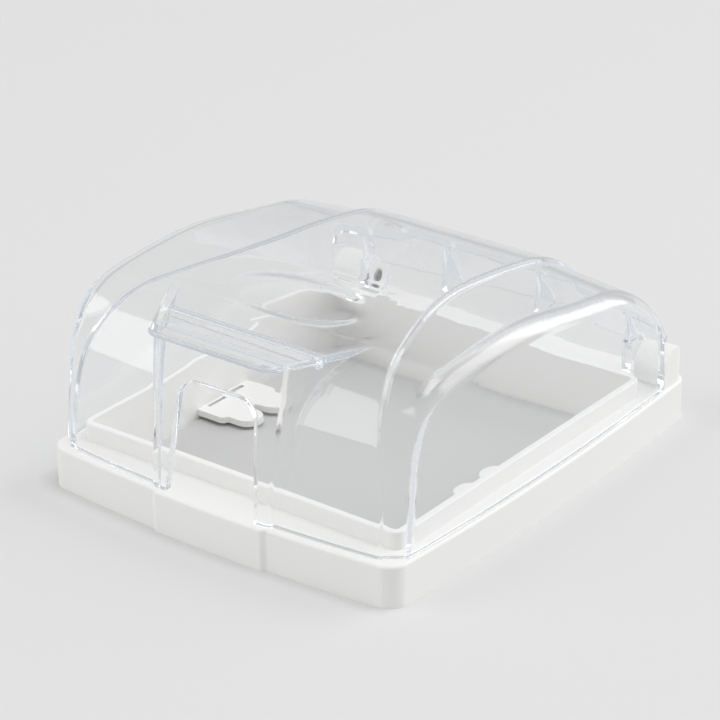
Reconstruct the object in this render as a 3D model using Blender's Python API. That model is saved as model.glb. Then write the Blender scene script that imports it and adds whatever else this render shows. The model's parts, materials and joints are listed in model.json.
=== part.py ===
"""Splash cover for a wall socket: a white base frame with a clear lid hinged at its rear.

Metres, +Z up. The wall plane is z = 0, and y = 0 is the middle of the base's overall length.
The front of the cover, where the cable comes out, faces -Y, and the hinge axis runs along X near +Y.
"""
import math

import bmesh
import bpy
from mathutils import Matrix, Vector

CLEARANCE = 0.0003

# Base frame: rim and shelf
BASE_WIDTH = 0.1010
BASE_LENGTH = 0.1203
BASE_HEIGHT = 0.0105
SIDE_BOW = 0.0022
FRONT_BOW = 0.00276
BUMP_WIDTH = 0.0320
BUMP_DEPTH = 0.00075
BUMP_RAMP = 0.0016
CORNER_RADIUS = 0.0040
RIM_EDGE_RADIUS = 0.0007
RIM_WALL = 0.0020
SHELF_THICKNESS = 0.0020
UNDER_RIB_THICKNESS = 0.0012
UNDER_RIBS_PER_SIDE = 3

# Collar round the opening
COLLAR_SIDE_MARGIN = 0.0045
COLLAR_FRONT_MARGIN = 0.0074
COLLAR_HEIGHT = 0.0150
COLLAR_WALL = 0.0015
COLLAR_RADIUS = 0.0025
COLLAR_EDGE_RADIUS = 0.0004
COLLAR_SETBACK = 0.0161

# Screw ears low in the opening
SCREW_EAR_THICKNESS = 0.0016
SCREW_EAR_LIFT = 0.0010
SCREW_EAR_REACH = 0.0152
SCREW_EAR_ROOT_WIDTH = 0.0210
SCREW_EAR_ROOT_REACH = 0.0078
SCREW_EAR_ROOT_RADIUS = 0.0015
FINGER_SPAN = 0.0180
FINGER_TIP_RADIUS = 0.0034
FINGER_ROOT_RADIUS = 0.0008
FINGER_SLOT_MOUTH = 0.0036
FINGER_SLOT_END = 0.0016
FINGER_SLOT_LENGTH = 0.0058
RELIEF_SLOT_WIDTH = 0.0010
RELIEF_SLOT_LENGTH = 0.0065
RELIEF_SLOT_INSET = 0.0005
RELIEF_SLOT_OFFSET = 0.00425
SCREW_LINE_OFFSET = 0.0010

# Hinge
HINGE_SETBACK = 0.00575
HINGE_RISE = 0.00475
HINGE_EAR_WIDTH = 0.0097
HINGE_EAR_RADIUS = 0.00475
EAR_INSET = 0.0002
BEARING_WALL = 0.0040
EAR_SKIN = 0.0018
PIN_RADIUS = 0.0015
PIN_LENGTH = 0.0037
LUG_THICKNESS = 0.0026
LUG_RADIUS = 0.0038
LUG_SWEEP = math.radians(150.0)

# Lid shell
LID_WALL = 0.0020
LID_HEIGHT = 0.0512
LID_SIDE_MARGIN = 0.0005
LID_CORNER_MARGIN = 0.0019
LID_CENTRE_MARGIN = 0.0013
LID_REAR_MARGIN = 0.0020
FRONT_LEAN = math.radians(5.7)
FRONT_ROLL_RADIUS = 0.0200
ROOF_RADIUS = 0.2350
CREST_SETBACK = 0.0428
REAR_ROLL_RADIUS = 0.0430
HOOD_EDGE_HEIGHT = 0.0196
CORNER_CHAMFER = 0.0050
RIDGE_REAR_HALF = 0.0253
RIDGE_TURN_START = 0.0080
RIDGE_TURN_LENGTH = 0.0810
BELT_STEP = 0.0007
BELT_STEP_SLOPE = math.radians(45.0)
CORNER_DROP = 0.0039
ROOF_DROP = 0.0007
REAR_DROP = 0.0030
CORNER_END = 0.0280
CORNER_FADE = 0.0140
REAR_DROP_START = 0.0750
REAR_DROP_FADE = 0.0300
CORNER_RIDGE_RADIUS = 0.0026
ROOF_RIDGE_RADIUS = 0.0008
CORNER_SHOULDER_RADIUS = 0.0022
ROOF_SHOULDER_RADIUS = 0.0045
BELT_FOOT_RADIUS = 0.0006
LEAST_RADIUS = 0.0002
BOW_FADE_HEIGHT = 0.0280
SIDE_BOW_KEPT = 0.4

# Cable porch, visor, cable arch and thumb scoop
PORCH_WIDTH = 0.0338
PORCH_FLARE = 0.52
PORCH_MARGIN = 0.0013
PORCH_LEAN = math.radians(7.9)
PORCH_DROP = 0.0010
PORCH_DEPTH = 0.0245
CREASE_SETBACK = 0.0127
VISOR_STEP = 0.0003
VISOR_REACH = 0.0121
VISOR_THICKNESS = 0.0013
VISOR_CORNER_RADIUS = 0.0042
CREASE_RIB = 0.0012
VISOR_OVERHANG = 0.0002
ARCH_WIDTH = 0.0262
ARCH_RISE = 0.0281
ARCH_TAPER = 0.086
ARCH_RADIUS = 0.0050
SCOOP_LENGTH = 0.0370
SCOOP_WIDTH = 0.0190
SCOOP_DEPTH = 0.0022
SCOOP_ROUNDNESS = 0.0100
SCOOP_SETBACK = 0.0203

# Cross wall and hood at the lid's rear
CROSS_WALL_GAP = 0.0010
CROSS_WALL_LIFT = 0.0015
SIDE_END_RADIUS = 0.0030
EAR_NOTCH_RISE = 0.0035
GUSSET_THICKNESS = 0.0012
GUSSET_OFFSET = 0.0140

SHARP_ANGLE = math.radians(30.0)
WHITE = (0.82, 0.83, 0.82, 1.0)
CLEAR = (0.86, 0.90, 0.94, 0.30)

# Places that follow from the sizes above
OVERALL_LENGTH = BASE_LENGTH + FRONT_BOW + BUMP_DEPTH
REAR_Y = OVERALL_LENGTH / 2
CORNER_Y = REAR_Y - BASE_LENGTH
FRONT_Y = -OVERALL_LENGTH / 2
COLLAR_WIDTH = BASE_WIDTH - 2 * COLLAR_SIDE_MARGIN
COLLAR_LENGTH = BASE_LENGTH - COLLAR_SETBACK - COLLAR_FRONT_MARGIN
COLLAR_REAR_Y = REAR_Y - COLLAR_SETBACK
COLLAR_Y = COLLAR_REAR_Y - COLLAR_LENGTH / 2
SCREW_LINE_Y = COLLAR_Y + SCREW_LINE_OFFSET
HINGE_Y = REAR_Y - HINGE_SETBACK
HINGE_Z = BASE_HEIGHT + HINGE_RISE
EAR_INNER_X = BASE_WIDTH / 2 - HINGE_EAR_WIDTH
FOOT_Z = BASE_HEIGHT + CLEARANCE
LID_HALF = BASE_WIDTH / 2 - LID_SIDE_MARGIN
RIDGE_FRONT_HALF = LID_HALF - CORNER_CHAMFER
LID_FRONT_Y = CORNER_Y + LID_CORNER_MARGIN
LID_FRONT_BOW = FRONT_BOW + LID_CORNER_MARGIN - LID_CENTRE_MARGIN
CREST_Y = CORNER_Y + CREST_SETBACK
PORCH_Y = FRONT_Y + PORCH_MARGIN
PORCH_TOP = LID_HEIGHT - PORCH_DROP
CREASE_Y = PORCH_Y + CREASE_SETBACK
VISOR_TOP = PORCH_TOP - VISOR_STEP
SCOOP_Y = CREASE_Y + SCOOP_SETBACK
CROSS_REAR_Y = HINGE_Y - HINGE_EAR_RADIUS - CROSS_WALL_GAP
NOTCH_Z = HINGE_Z + HINGE_EAR_RADIUS + EAR_NOTCH_RISE

# How finely curved faces are divided
ARC_STEPS = 8
EDGE_STEPS = 3
FINGER_STEPS = 5
RIM_SIDE_STEPS = 16
FRONT_STEPS = 4
FRONT_ROLL_STEPS = 12
ROOF_STEPS = 11
REAR_ROLL_STEPS = 11
RIDGE_STEPS = 3
BELT_FOOT_STEPS = 2
SHOULDER_STEPS = 6
SIDE_ROWS = 5
SCOOP_SEGMENTS = 40
SCOOP_RINGS = 24

# Lengths that only keep cutters clear of faces or points apart
FAR = 0.2
OVERRUN = 0.004
END_LAP = 0.0015
MERGE_DISTANCE = 0.00001


def smoothstep(t):
    """Ease from 0 to 1 as t goes from 0 to 1."""
    t = min(max(t, 0.0), 1.0)
    return t * t * (3 - 2 * t)


def rounded(corners, steps=ARC_STEPS):
    """Outline through the corners (x, y, radius), each rounded by an arc of its radius."""
    points = []
    for i, (x, y, radius) in enumerate(corners):
        corner = Vector((x, y))
        if radius <= 0:
            points.append((x, y))
            continue
        before = (Vector(corners[i - 1][:2]) - corner).normalized()
        after = (Vector(corners[(i + 1) % len(corners)][:2]) - corner).normalized()
        half = before.angle(after) / 2
        centre = corner + (before + after).normalized() * radius / math.sin(half)
        start = corner + before * radius / math.tan(half) - centre
        turn = start.angle_signed(corner + after * radius / math.tan(half) - centre)
        for k in range(steps + 1):
            angle = -turn * k / steps
            spin = (math.cos(angle), math.sin(angle))
            points.append((centre.x + start.x * spin[0] - start.y * spin[1],
                           centre.y + start.x * spin[1] + start.y * spin[0]))
    return points


def new_object(name, mesh_builder):
    """Object whose mesh is what the bmesh holds, with its faces turned outwards."""
    bmesh.ops.recalc_face_normals(mesh_builder, faces=mesh_builder.faces)
    mesh = bpy.data.meshes.new(name)
    mesh_builder.to_mesh(mesh)
    mesh_builder.free()
    obj = bpy.data.objects.new(name, mesh)
    bpy.context.scene.collection.objects.link(obj)
    return obj


def loft(name, rings):
    """Closed solid through rings of points that all have the same count."""
    bm = bmesh.new()
    rows = [[bm.verts.new(point) for point in ring] for ring in rings]
    for lower, upper in zip(rows, rows[1:]):
        for k in range(len(lower)):
            n = (k + 1) % len(lower)
            bm.faces.new((lower[k], lower[n], upper[n], upper[k]))
    bm.faces.new(rows[0])
    bm.faces.new(rows[-1])
    return new_object(name, bm)


def prism(name, outline, axis, low, high):
    """Outline extruded along one axis. The outline is in the other two axes, in X, Y, Z order."""
    def place(point, at):
        values = list(point)
        values.insert("XYZ".index(axis), at)
        return tuple(values)
    return loft(name, [[place(point, at) for point in outline] for at in (low, high)])


def box(name, low, high):
    """Box between two corners."""
    outline = [(low[0], low[1]), (high[0], low[1]), (high[0], high[1]), (low[0], high[1])]
    return prism(name, outline, "Z", low[2], high[2])


def combine(target, tool, operation):
    """Applies a Boolean of the tool to the target, and removes the tool."""
    modifier = target.modifiers.new(operation.title(), "BOOLEAN")
    modifier.operation = operation
    modifier.solver = "EXACT"
    modifier.object = tool
    depsgraph = bpy.context.evaluated_depsgraph_get()
    result = bpy.data.meshes.new_from_object(target.evaluated_get(depsgraph))
    target.modifiers.clear()
    target.data = result
    bpy.data.objects.remove(tool)
    return target


def join(target, tool):
    return combine(target, tool, "UNION")


def cut(target, tool):
    return combine(target, tool, "DIFFERENCE")


def keep_common(target, tool):
    return combine(target, tool, "INTERSECT")


def side_bow(y):
    """How far the base's side stands out past its corners at y."""
    middle = (CORNER_Y + REAR_Y) / 2
    return SIDE_BOW * (1 - ((y - middle) / (BASE_LENGTH / 2)) ** 2)


def front_bow(x):
    """How far the base's front stands out past its corners at x, with the bump in its middle."""
    ramp = smoothstep((BUMP_WIDTH / 2 + BUMP_RAMP / 2 - abs(x)) / BUMP_RAMP)
    return FRONT_BOW * (1 - (x / (BASE_WIDTH / 2)) ** 2) + BUMP_DEPTH * ramp


def rim_outline(inset):
    """Plan outline of the rim drawn in by the inset: a rounded rectangle bowed at its sides and front."""
    half = BASE_WIDTH / 2 - inset
    front = CORNER_Y + inset
    rear = REAR_Y - inset
    radius = max(CORNER_RADIUS - inset, CORNER_RADIUS / 4)
    bump_edge = BUMP_WIDTH / 2
    ramp = [bump_edge + BUMP_RAMP * share for share in (0.5, 0.25, 0.0, -0.25, -0.5)]
    plain = [(half - radius) * share for share in (0.87, 0.74, 0.61, 0.48)]
    steps = plain + ramp + [bump_edge * 0.6, bump_edge * 0.2]
    count = RIM_SIDE_STEPS
    ys = [front + radius + (rear - front - 2 * radius) * k / count for k in range(1, count)]
    corners = [(-half, front, radius)] + [(-x, front, 0) for x in steps]
    corners += [(x, front, 0) for x in steps[::-1]]
    corners += [(half, front, radius)] + [(half, y, 0) for y in ys]
    corners += [(half, rear, radius), (-half, rear, radius)] + [(-half, y, 0) for y in ys[::-1]]
    points = []
    for x, y in rounded(corners):
        ahead = 1 - smoothstep((y - front) / (2 * radius))
        points.append((x * (1 + side_bow(y) / half), y - front_bow(x) * ahead))
    return points


def collar_outline(inset):
    """Plan outline of the collar drawn in by the inset."""
    x = COLLAR_WIDTH / 2 - inset
    y = COLLAR_LENGTH / 2 - inset
    radius = max(COLLAR_RADIUS - inset, COLLAR_RADIUS / 4)
    corners = [(-x, COLLAR_Y - y, radius), (x, COLLAR_Y - y, radius),
               (x, COLLAR_Y + y, radius), (-x, COLLAR_Y + y, radius)]
    return rounded(corners)


def edge_rings(outline, top, radius, bottom):
    """Rings of an upright solid whose top edge is rounded. The outline is a function of the inset."""
    levels = [(0.0, bottom)]
    for k in range(EDGE_STEPS + 1):
        angle = math.pi / 2 * k / EDGE_STEPS
        levels.append((radius * (1 - math.cos(angle)), top - radius + radius * math.sin(angle)))
    return [[(x, y, z) for x, y in outline(inset)] for inset, z in levels]


def hinge_ears():
    """Upright ears at the two rear corners, each with a round top about the hinge axis."""
    low, high = HINGE_Y - HINGE_EAR_RADIUS, HINGE_Y + HINGE_EAR_RADIUS
    profile = [(low, BASE_HEIGHT / 2), (high, BASE_HEIGHT / 2)]
    for k in range(2 * ARC_STEPS + 1):
        angle = math.pi * k / (2 * ARC_STEPS)
        profile.append((HINGE_Y + HINGE_EAR_RADIUS * math.cos(angle),
                        HINGE_Z + HINGE_EAR_RADIUS * math.sin(angle)))
    ears = prism("ears", profile, "X", -FAR, FAR)
    side = BASE_WIDTH / 2 - EAR_INSET
    limit = rounded([(-side, -FAR, 0), (side, -FAR, 0),
                     (side, high, CORNER_RADIUS), (-side, high, CORNER_RADIUS)])
    keep_common(ears, prism("limit", limit, "Z", -FAR, FAR))
    return cut(ears, box("middle", (-EAR_INNER_X, -FAR, -FAR), (EAR_INNER_X, FAR, FAR)))


def ear_core(side):
    """Hollow that opens downwards inside a hinge ear, behind its bearing wall."""
    xs = sorted((side * (EAR_INNER_X + BEARING_WALL), side * (BASE_WIDTH / 2 - EAR_SKIN)))
    reach = HINGE_EAR_RADIUS - EAR_SKIN
    low = (xs[0], HINGE_Y - reach, -FAR)
    high = (xs[1], HINGE_Y + reach, HINGE_Z + reach)
    return box("core", low, high)


def pin(side, radius, start, length):
    """Round pin or hole on the hinge axis, from start outwards."""
    count = 4 * ARC_STEPS
    angles = [2 * math.pi * k / count for k in range(count)]
    circle = [(HINGE_Y + radius * math.cos(a), HINGE_Z + radius * math.sin(a)) for a in angles]
    xs = sorted((side * start, side * (start + length)))
    return prism("pin", circle, "X", xs[0], xs[1])


def screw_ear(side):
    """Forked ear that takes a screw of the socket, rooted in the collar's wall."""
    wall = COLLAR_WIDTH / 2 - COLLAR_WALL
    root = wall + COLLAR_WALL / 2
    tip = wall - SCREW_EAR_REACH
    step = wall - SCREW_EAR_ROOT_REACH
    broad, narrow = SCREW_EAR_ROOT_WIDTH / 2, FINGER_SPAN / 2
    mouth, end = FINGER_SLOT_MOUTH / 2, FINGER_SLOT_END / 2
    slot = tip + FINGER_SLOT_LENGTH
    half = [(root, -broad, 0), (step, -broad, SCREW_EAR_ROOT_RADIUS),
            (step - FINGER_ROOT_RADIUS, -narrow, FINGER_ROOT_RADIUS), (tip, -narrow, FINGER_TIP_RADIUS),
            (tip, -mouth, FINGER_TIP_RADIUS), (slot, -end, end / 2)]
    mirrored = [(x, -y, radius) for x, y, radius in reversed(half)]
    corners = [(side * x, SCREW_LINE_Y + y, radius) for x, y, radius in half + mirrored]
    outline = rounded(corners, FINGER_STEPS)
    ear = prism("screw ear", outline, "Z", SCREW_EAR_LIFT, SCREW_EAR_LIFT + SCREW_EAR_THICKNESS)
    slot_x = wall - RELIEF_SLOT_INSET - RELIEF_SLOT_WIDTH / 2
    for up in (-1, 1):
        y = SCREW_LINE_Y + up * RELIEF_SLOT_OFFSET
        low = (side * slot_x - RELIEF_SLOT_WIDTH / 2, y - RELIEF_SLOT_LENGTH / 2, -FAR)
        high = (side * slot_x + RELIEF_SLOT_WIDTH / 2, y + RELIEF_SLOT_LENGTH / 2, FAR)
        cut(ear, box("relief", low, high))
    return ear


def under_hollow():
    """The space under the shelf, between the rim and the collar, with the ribs left standing."""
    top = BASE_HEIGHT - SHELF_THICKNESS
    hollow = prism("hollow", rim_outline(RIM_WALL), "Z", -FAR, top)
    cut(hollow, prism("collar", collar_outline(0), "Z", -2 * FAR, FAR))
    half_rib = UNDER_RIB_THICKNESS / 2
    for k in range(UNDER_RIBS_PER_SIDE):
        share = (k + 0.5) / UNDER_RIBS_PER_SIDE - 0.5
        y = COLLAR_Y + COLLAR_LENGTH * share
        cut(hollow, box("rib", (-FAR, y - half_rib, -2 * FAR), (FAR, y + half_rib, FAR)))
        x = COLLAR_WIDTH * share
        cut(hollow, box("rib", (x - half_rib, -FAR, -2 * FAR), (x + half_rib, FAR, FAR)))
    return hollow


def base_frame():
    """White frame: rim, shelf, collar, screw ears and hinge ears."""
    base = loft("base_frame", edge_rings(rim_outline, BASE_HEIGHT, RIM_EDGE_RADIUS, 0.0))
    collar = loft("collar", edge_rings(collar_outline, COLLAR_HEIGHT, COLLAR_EDGE_RADIUS, BASE_HEIGHT / 2))
    join(base, collar)
    join(base, hinge_ears())
    cut(base, under_hollow())
    cut(base, prism("well", collar_outline(COLLAR_WALL), "Z", -FAR, FAR))
    for side in (-1, 1):
        cut(base, ear_core(side))
        cut(base, pin(side, PIN_RADIUS + CLEARANCE, EAR_INNER_X - CLEARANCE, BEARING_WALL + 2 * CLEARANCE))
        join(base, screw_ear(side))
    return base


def lid_stations(overrun):
    """Points down the middle of the lid's side profile, as (length along it, place, outward normal).

    The profile is a leaning front, a front roll, a shallow roof arc and a rear roll, each tangent to the
    next. It is prolonged by the overrun at both ends.
    """
    along = Vector((math.sin(FRONT_LEAN), math.cos(FRONT_LEAN)))
    inward = Vector((math.cos(FRONT_LEAN), -math.sin(FRONT_LEAN)))
    foot = Vector((LID_FRONT_Y, FOOT_Z))
    roof = Vector((CREST_Y, LID_HEIGHT - ROOF_RADIUS))
    start = foot + inward * FRONT_ROLL_RADIUS - roof
    slope = start.dot(along)
    reach = ROOF_RADIUS - FRONT_ROLL_RADIUS
    straight = math.sqrt(slope ** 2 - start.length_squared + reach ** 2) - slope
    front = foot + along * straight + inward * FRONT_ROLL_RADIUS
    edge = Vector((REAR_Y - LID_REAR_MARGIN, HOOD_EDGE_HEIGHT))
    gap = edge - roof
    reach = ROOF_RADIUS - REAR_ROLL_RADIUS
    near = (reach ** 2 - REAR_ROLL_RADIUS ** 2 + gap.length_squared) / (2 * gap.length)
    beside = math.sqrt(reach ** 2 - near ** 2)
    ahead = gap.normalized()
    rear = roof + ahead * near + Vector((ahead.y, -ahead.x)) * -beside
    starts = [straight * k / FRONT_STEPS for k in range(FRONT_STEPS)]
    stations = [(s, foot + along * s, -inward) for s in [-overrun] * (overrun > 0) + starts]
    travelled = straight

    def arc(centre, radius, first, last, count):
        nonlocal travelled
        for k in range(count):
            angle = first + (last - first) * k / count
            normal = Vector((math.cos(angle), math.sin(angle)))
            stations.append((travelled + radius * abs(first - angle), centre + normal * radius, normal))
        travelled += radius * abs(last - first)

    def heading(vector):
        return math.atan2(vector.y, vector.x)

    to_front, to_rear = heading(front - roof), heading(rear - roof)
    arc(front, FRONT_ROLL_RADIUS, heading(-inward), to_front, FRONT_ROLL_STEPS)
    arc(roof, ROOF_RADIUS, to_front, to_rear, ROOF_STEPS)
    last = heading(edge - rear)
    arc(rear, REAR_ROLL_RADIUS, to_rear, last, REAR_ROLL_STEPS)
    normal = (edge - rear).normalized()
    tangent = Vector((normal.y, -normal.x))
    for s in (0.0, overrun + END_LAP):
        stations.append((travelled + s, edge + tangent * s, normal))
    return stations


def blend(start, end, t):
    """Value on the smooth way from start to end."""
    return start + (end - start) * smoothstep(t)


def bend(corner, before, after, radius, inset, steps):
    """Rounded corner of the section between two slopes, drawn in by the inset."""
    middle, half = (before + after) / 2, (after - before) / 2
    kept = max(radius - inset, LEAST_RADIUS) if after > before else -radius - inset
    reach = (inset + kept) / math.cos(half)
    x, h = corner[0] - reach * math.sin(middle), corner[1] - reach * math.cos(middle)
    angles = [before + (after - before) * k / steps for k in range(steps + 1)]
    return [(x + kept * math.sin(angle), h + kept * math.cos(angle)) for angle in angles]


def section(s, inset):
    """Half of the lid's cross section at s, as (distance from the middle, height over the profile).

    A raised belt ends at the ridge in a slanted step, and a facet goes on from there to the shoulder.
    """
    ridge = blend(RIDGE_FRONT_HALF, RIDGE_REAR_HALF, (s - RIDGE_TURN_START) / RIDGE_TURN_LENGTH)
    roof = (s - CORNER_END) / CORNER_FADE
    drop = blend(CORNER_DROP, ROOF_DROP, roof)
    drop += blend(0, REAR_DROP - ROOF_DROP, (s - REAR_DROP_START) / REAR_DROP_FADE)
    foot = ridge + BELT_STEP / math.tan(BELT_STEP_SLOPE)
    slope = math.atan2(drop - BELT_STEP, LID_HALF - foot)
    ridge_radius = blend(CORNER_RIDGE_RADIUS, ROOF_RIDGE_RADIUS, roof)
    shoulder_radius = blend(CORNER_SHOULDER_RADIUS, ROOF_SHOULDER_RADIUS, roof)
    points = [(0.0, -inset), (ridge / 2, -inset)]
    points += bend((ridge, 0), 0, BELT_STEP_SLOPE, ridge_radius, inset, RIDGE_STEPS)
    points += bend((foot, -BELT_STEP), BELT_STEP_SLOPE, slope, BELT_FOOT_RADIUS, inset, BELT_FOOT_STEPS)
    return points + bend((LID_HALF, -drop), slope, math.pi / 2, shoulder_radius, inset, SHOULDER_STEPS)


def bowed(x, y, z):
    """Bows the lid's front and sides outwards, most at the foot, to follow the base."""
    low = 1 - smoothstep((z - FOOT_Z) / BOW_FADE_HEIGHT)
    side = SIDE_BOW_KEPT + (1 - SIDE_BOW_KEPT) * low
    ahead = 1 - smoothstep((y - LID_FRONT_Y) / BOW_FADE_HEIGHT)
    spread = max(side_bow(y), 0.0) * side / LID_HALF
    return (x * (1 + spread), y - LID_FRONT_BOW * (1 - (x / LID_HALF) ** 2) * low * ahead, z)


def lid_hull(name, inset, overrun):
    """Solid form of the lid without its porch, drawn in by the inset."""
    bottom = FOOT_Z - overrun
    rings = []
    bm = bmesh.new()
    for s, place, normal in lid_stations(overrun):
        half = section(s, inset)
        across = [(-x, h) for x, h in half[:0:-1]] + half
        spots = [(x, place + normal * h) for x, h in across]
        skin = [(x, spot.x, max(spot.y, bottom)) for x, spot in spots]
        (left, left_y, left_z), (right, right_y, right_z) = skin[0], skin[-1]
        shares = [k / SIDE_ROWS for k in range(SIDE_ROWS)]
        ring = [(left, left_y, bottom + (left_z - bottom) * share) for share in shares]
        ring += skin
        ring += [(right, right_y, bottom + (right_z - bottom) * share) for share in reversed(shares)]
        rings.append(ring)
    end = max(y for x, y, z in rings[-1]) + END_LAP
    rings.insert(0, [(x, y, bottom) for x, y, z in rings[0]])
    rings.append([(x, end, z) for x, y, z in rings[-1]])
    rings = [[bm.verts.new(bowed(*point)) for point in ring] for ring in rings]
    for before, after in zip(rings, rings[1:]):
        for k in range(len(before)):
            n = (k + 1) % len(before)
            bm.faces.new((before[k], before[n], after[n], after[k]))
    bm.faces.new(rings[0])
    bm.faces.new(rings[-1])
    bmesh.ops.remove_doubles(bm, verts=bm.verts, dist=MERGE_DISTANCE)
    return new_object(name, bm)


def wedge(inset, front_y, radius):
    """Plan of the porch: a wedge that widens towards the rear, with its front corners rounded."""
    slant = inset * math.hypot(1, PORCH_FLARE)
    rear_y = PORCH_Y + PORCH_DEPTH
    front = PORCH_WIDTH / 2 + (front_y - PORCH_Y) * PORCH_FLARE - slant
    rear = PORCH_WIDTH / 2 + PORCH_DEPTH * PORCH_FLARE - slant
    return rounded([(-front, front_y, radius), (front, front_y, radius),
                    (rear, rear_y, 0), (-rear, rear_y, 0)])


def porch(name, inset, overrun):
    """Solid form of the porch under its visor, drawn in by the inset."""
    lean = math.tan(PORCH_LEAN)
    shift = inset * math.hypot(1, lean)
    bottom = FOOT_Z - overrun
    rear = PORCH_Y + PORCH_DEPTH
    ceiling = VISOR_TOP - (VISOR_THICKNESS if inset else VISOR_THICKNESS / 2)
    crease = CREASE_Y + inset

    def front(z):
        return PORCH_Y + (z - FOOT_Z) * lean + shift

    profile = [(front(bottom), bottom), (front(ceiling), ceiling), (crease, ceiling),
               (crease, PORCH_TOP - inset), (rear, PORCH_TOP - inset), (rear, bottom)]
    body = prism(name, profile, "X", -FAR, FAR)
    plan = wedge(inset, PORCH_Y - PORCH_DEPTH / 2, 0)
    return keep_common(body, prism("plan", plan, "Z", -FAR, FAR))


def visor():
    """Flat lip ahead of the porch's roof, which a thumb lifts to open the lid."""
    lip = CREASE_Y - VISOR_REACH
    plate = box("visor", (-FAR, lip, VISOR_TOP - VISOR_THICKNESS), (FAR, CREASE_Y + LID_WALL / 2, VISOR_TOP))
    plan = wedge(-VISOR_OVERHANG, lip, VISOR_CORNER_RADIUS)
    return keep_common(plate, prism("plan", plan, "Z", -FAR, FAR))


def scoop(name, grow):
    """Ellipsoid that presses the thumb scoop into the roof, grown for its underside."""
    drop = SCOOP_ROUNDNESS - SCOOP_DEPTH
    share = math.sqrt(1 - (drop / SCOOP_ROUNDNESS) ** 2)
    roof = LID_HEIGHT - (SCOOP_Y - CREST_Y) ** 2 / (2 * ROOF_RADIUS)
    bm = bmesh.new()
    bmesh.ops.create_uvsphere(bm, u_segments=SCOOP_SEGMENTS, v_segments=SCOOP_RINGS, radius=1.0)
    for vert in bm.verts:
        vert.co.x = vert.co.x * (SCOOP_LENGTH / 2 / share + grow)
        vert.co.y = vert.co.y * (SCOOP_WIDTH / 2 / share + grow) + SCOOP_Y
        vert.co.z = vert.co.z * (SCOOP_ROUNDNESS + grow) + roof + drop
    return new_object(name, bm)


def cable_arch():
    """Cutter for the arch that lets the cable out under the visor."""
    foot, top = BASE_HEIGHT - ARCH_RISE / 4, BASE_HEIGHT + ARCH_RISE
    spread = ARCH_WIDTH / 2 + ARCH_RISE / 4 * ARCH_TAPER
    crown = ARCH_WIDTH / 2 - ARCH_RISE * ARCH_TAPER
    outline = rounded([(-spread, foot, 0), (spread, foot, 0),
                       (crown, top, ARCH_RADIUS), (-crown, top, ARCH_RADIUS)])
    return prism("arch", outline, "Y", -FAR, PORCH_Y + PORCH_DEPTH / 2)


def cavity():
    """The space inside the lid, with the crease rib, the cross wall and the hood's gussets left standing."""
    space = lid_hull("cavity", LID_WALL, OVERRUN)
    join(space, porch("porch", LID_WALL, OVERRUN))
    cut(space, scoop("scoop", LID_WALL))
    cut(space, box("crease rib", (-FAR, CREASE_Y, PORCH_TOP - LID_WALL - CREASE_RIB),
                   (FAR, CREASE_Y + CREASE_RIB, FAR)))
    low, high = CROSS_REAR_Y - LID_WALL, CROSS_REAR_Y
    cut(space, box("cross wall", (-FAR, low, FOOT_Z + CROSS_WALL_LIFT), (FAR, high, FAR)))
    lug_x = EAR_INNER_X - CLEARANCE - LUG_THICKNESS / 2
    half = GUSSET_THICKNESS / 2
    for x in (-lug_x, -GUSSET_OFFSET, GUSSET_OFFSET, lug_x):
        cut(space, box("gusset", (x - half, (low + high) / 2, FOOT_Z), (x + half, FAR, FAR)))
    return space


def rear_trim():
    """Cutter below the hood's edge, which also rounds the lower rear corners of the side walls."""
    start = CROSS_REAR_Y - SIDE_END_RADIUS
    under = FOOT_Z - OVERRUN
    profile = [(start, under)]
    for k in range(ARC_STEPS + 1):
        angle = math.pi / 2 * (k / ARC_STEPS - 1)
        profile.append((start + SIDE_END_RADIUS * math.cos(angle),
                        FOOT_Z + SIDE_END_RADIUS * (1 + math.sin(angle))))
    profile += [(CROSS_REAR_Y, HOOD_EDGE_HEIGHT), (FAR, HOOD_EDGE_HEIGHT), (FAR, under)]
    return prism("trim", profile, "X", -FAR, FAR)


def ear_notch(side):
    """Cutter that clears the hood over a hinge ear."""
    xs = sorted((side * (EAR_INNER_X - 2 * CLEARANCE), side * FAR))
    return box("notch", (xs[0], CROSS_REAR_Y, 0), (xs[1], FAR, NOTCH_Z))


def lug(side):
    """Hinge arm behind the cross wall, with its pin."""
    outer = EAR_INNER_X - CLEARANCE
    xs = sorted((side * outer, side * (outer - LUG_THICKNESS)))
    front = CROSS_REAR_Y - LID_WALL / 2
    top = HOOD_EDGE_HEIGHT + LID_WALL
    profile = [(front, FOOT_Z + SIDE_END_RADIUS)]
    for k in range(3 * ARC_STEPS + 1):
        angle = LUG_SWEEP * k / (3 * ARC_STEPS) - math.pi / 2
        profile.append((HINGE_Y + LUG_RADIUS * math.cos(angle), HINGE_Z + LUG_RADIUS * math.sin(angle)))
    profile += [(HINGE_Y, top), (front, top)]
    arm = prism("lug", profile, "X", xs[0], xs[1])
    return join(arm, pin(side, PIN_RADIUS, outer - LUG_THICKNESS / 2, LUG_THICKNESS / 2 + PIN_LENGTH))


def clear_lid():
    """Clear lid: a shell with its porch, visor, arch, scoop, cross wall, hood and hinge lugs."""
    lid = lid_hull("clear_lid", 0.0, 0.0)
    join(lid, porch("porch", 0.0, 0.0))
    cut(lid, scoop("scoop", 0.0))
    cut(lid, cavity())
    join(lid, visor())
    cut(lid, cable_arch())
    cut(lid, rear_trim())
    for side in (-1, 1):
        cut(lid, ear_notch(side))
        join(lid, lug(side))
    return lid


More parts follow.
